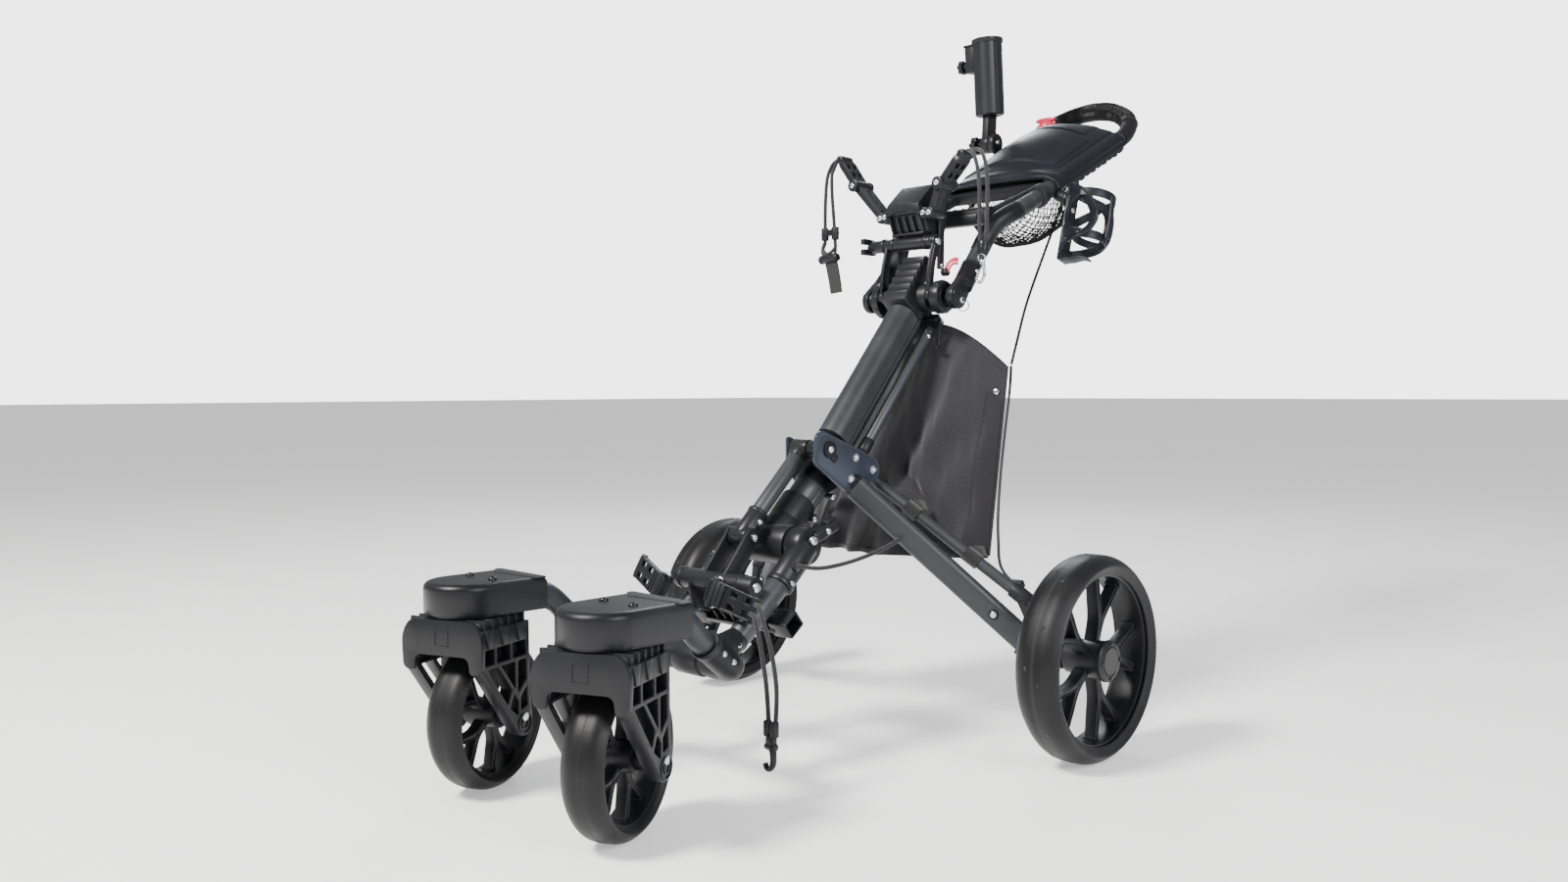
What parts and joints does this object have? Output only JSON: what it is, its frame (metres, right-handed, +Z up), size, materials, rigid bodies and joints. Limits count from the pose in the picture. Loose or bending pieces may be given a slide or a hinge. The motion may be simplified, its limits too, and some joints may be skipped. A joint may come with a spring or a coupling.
{
  "type": "golf push cart",
  "caption": "Folding push cart on casters and rear wheels that carries a golf bag: jointed frame, console with handle, umbrella cup, bottle cage, bag cradles and cords.",
  "frame": {"origin": "middle of the footprint, on the floor the wheels stand on", "axes": "+Z up, +Y towards the handle, the cart rolls forward along -Y, +X to the right of someone looking along +Y"},
  "size_m": [0.79, 1.3765, 1.1874],
  "materials": {
    "tube_grey": "satin charcoal powder coat",
    "plate_grey": "smooth dark satin coat",
    "black_plastic": "fine moulded grain",
    "console_black": "satin moulding",
    "tyre": "solid foam tyre, moulded pattern",
    "grip_rubber": "ribbed",
    "fabric": "heathered woven polyester",
    "net": "open mesh",
    "red_plastic": "gloss",
    "steel": "plated",
    "cord": "elastic cord with a woven cover"
  },
  "bodies": {
    "main_frame": {"main_tube": "tube_grey", "centre_tube": "tube_grey", "latch_collar": "black_plastic", "knuckle_casting": "black_plastic", "hub_body": "black_plastic", "guide_rods": "tube_grey", "rear_apron": "fabric", "brake_cable_lower": "cord"},
    "rear_legs": {"side_plate_left": "plate_grey", "side_plate_right": "plate_grey", "rear_leg_left": "tube_grey", "rear_leg_right": "tube_grey", "rear_strut_left": "tube_grey", "rear_strut_right": "tube_grey"},
    "strut": {"fold_strut": "tube_grey"},
    "front_frame": {"front_leg_left": "black_plastic", "front_leg_right": "black_plastic", "front_crossbeam": "black_plastic", "caster_arm_left": "tube_grey", "caster_arm_right": "tube_grey", "caster_housing_left": "black_plastic", "caster_housing_right": "black_plastic", "lower_cradle_bar": "black_plastic", "bungee_lower": "cord", "bungee_lower_hook": "black_plastic", "stay_cord": "cord"},
    "handle": {"handle_tube_left": "tube_grey", "handle_tube_right": "tube_grey", "handle_grip": "grip_rubber", "console_tray": "black_plastic", "storage_net": "net", "bottle_cage": "black_plastic", "umbrella_mount": "black_plastic", "cradle_block": "black_plastic", "cradle_links": "black_plastic", "bungee_left": "cord", "bungee_left_clip": "black_plastic", "bungee_right": "cord", "bungee_right_hook": "steel", "brake_cable_upper": "cord"},
    "lid": {"console_lid": "console_black"},
    "umbrella_holder": {"umbrella_cup": "black_plastic"},
    "brake_lever": {"brake_lever": "red_plastic"},
    "rear_wheel_left": {"rear_tyre_left": "tyre", "rear_rim_left": "black_plastic"},
    "caster_left": {"caster_fork_left": "black_plastic"},
    "caster_wheel_left": {"caster_tyre_left": "tyre", "caster_rim_left": "black_plastic"},
    "hub_knob_left": {"hub_knob_left": "black_plastic"},
    "cradle_arm_left": {"cradle_arm_left": "black_plastic"},
    "lower_pad_left": {"lower_pad_left": "black_plastic"},
    "rear_wheel_right": {"rear_tyre_right": "tyre", "rear_rim_right": "black_plastic"},
    "caster_right": {"caster_fork_right": "black_plastic"},
    "caster_wheel_right": {"caster_tyre_right": "tyre", "caster_rim_right": "black_plastic"},
    "hub_knob_right": {"hub_knob_right": "black_plastic"},
    "cradle_arm_right": {"cradle_arm_right": "black_plastic"},
    "lower_pad_right": {"lower_pad_right": "black_plastic"}
  },
  "joints": [
    {"name": "leg_fold", "type": "hinge", "parent": "main_frame", "child": "rear_legs", "pos_m": [0, -0.078, 0.4202], "axis": [-1, 0, 0], "range_deg": [0, 57], "deforming": ["rear_apron", "brake_cable_lower"]},
    {"name": "strut_fold", "type": "hinge", "parent": "rear_legs", "child": "strut", "pos_m": [0, -0.1373, 0.434], "axis": [-1, 0, 0], "range_deg": [-57, 0]},
    {"name": "front_fold", "type": "hinge", "parent": "main_frame", "child": "front_frame", "pos_m": [0, -0.2033, 0.301], "axis": [-1, 0, 0], "range_deg": [0, 57], "deforming": ["stay_cord"]},
    {"name": "handle_fold", "type": "hinge", "parent": "main_frame", "child": "handle", "pos_m": [0, 0.1232, 0.6665], "axis": [1, 0, 0], "range_deg": [0, 100], "deforming": ["brake_cable_upper"]},
    {"name": "lid_open", "type": "hinge", "parent": "handle", "child": "lid", "pos_m": [0, 0.5752, 0.9775], "axis": [-1, 0, 0], "range_deg": [0, 60]},
    {"name": "umbrella_tilt", "type": "hinge", "parent": "handle", "child": "umbrella_holder", "pos_m": [-0.134, 0.5237, 0.988], "axis": [-1, 0, 0], "range_deg": [-30, 30]},
    {"name": "brake_turn", "type": "hinge", "parent": "handle", "child": "brake_lever", "pos_m": [-0.058, 0.60564, 1.02802], "axis": [0, -0.4384, 0.8988], "range_deg": [0, 60]},
    {"name": "rear_wheel_left_spin", "type": "hinge", "parent": "rear_legs", "child": "rear_wheel_left", "pos_m": [-0.3605, 0.0607, 0.145], "axis": [1, 0, 0], "continuous": true},
    {"name": "caster_left_swivel", "type": "hinge", "parent": "front_frame", "child": "caster_left", "pos_m": [-0.141, -0.615, 0.236], "axis": [0, 0, 1], "continuous": true},
    {"name": "caster_wheel_left_spin", "type": "hinge", "parent": "caster_left", "child": "caster_wheel_left", "pos_m": [-0.15402, -0.58037, 0.0985], "axis": [0.9361, 0.3518, 0], "continuous": true},
    {"name": "hub_knob_left_turn", "type": "hinge", "parent": "main_frame", "child": "hub_knob_left", "pos_m": [-0.064, 0.1232, 0.6665], "axis": [1, 0, 0], "continuous": true},
    {"name": "cradle_arm_left_swing", "type": "hinge", "parent": "handle", "child": "cradle_arm_left", "pos_m": [-0.0485, 0.1157, 0.798], "axis": [0, 1, 0], "range_deg": [0, 25]},
    {"name": "lower_pad_left_swing", "type": "hinge", "parent": "front_frame", "child": "lower_pad_left", "pos_m": [-0.072, -0.3403, 0.243], "axis": [0, 0, 1], "range_deg": [0, 30]},
    {"name": "rear_wheel_right_spin", "type": "hinge", "parent": "rear_legs", "child": "rear_wheel_right", "pos_m": [0.3605, 0.0607, 0.145], "axis": [1, 0, 0], "continuous": true},
    {"name": "caster_right_swivel", "type": "hinge", "parent": "front_frame", "child": "caster_right", "pos_m": [0.141, -0.615, 0.236], "axis": [0, 0, 1], "continuous": true},
    {"name": "caster_wheel_right_spin", "type": "hinge", "parent": "caster_right", "child": "caster_wheel_right", "pos_m": [0.12595, -0.5812, 0.0985], "axis": [0.9135, 0.4067, 0], "continuous": true},
    {"name": "hub_knob_right_turn", "type": "hinge", "parent": "main_frame", "child": "hub_knob_right", "pos_m": [0.064, 0.1232, 0.6665], "axis": [1, 0, 0], "continuous": true},
    {"name": "cradle_arm_right_swing", "type": "hinge", "parent": "handle", "child": "cradle_arm_right", "pos_m": [0.05, 0.1157, 0.7985], "axis": [0, 1, 0], "range_deg": [0, 25]},
    {"name": "lower_pad_right_swing", "type": "hinge", "parent": "front_frame", "child": "lower_pad_right", "pos_m": [0.035, -0.3393, 0.242], "axis": [0, 0, 1], "range_deg": [-30, 0]}
  ],
  "couplings": [
    {"joint": "front_fold", "follows": "leg_fold", "ratio": 1},
    {"joint": "strut_fold", "follows": "leg_fold", "ratio": -1}
  ]
}
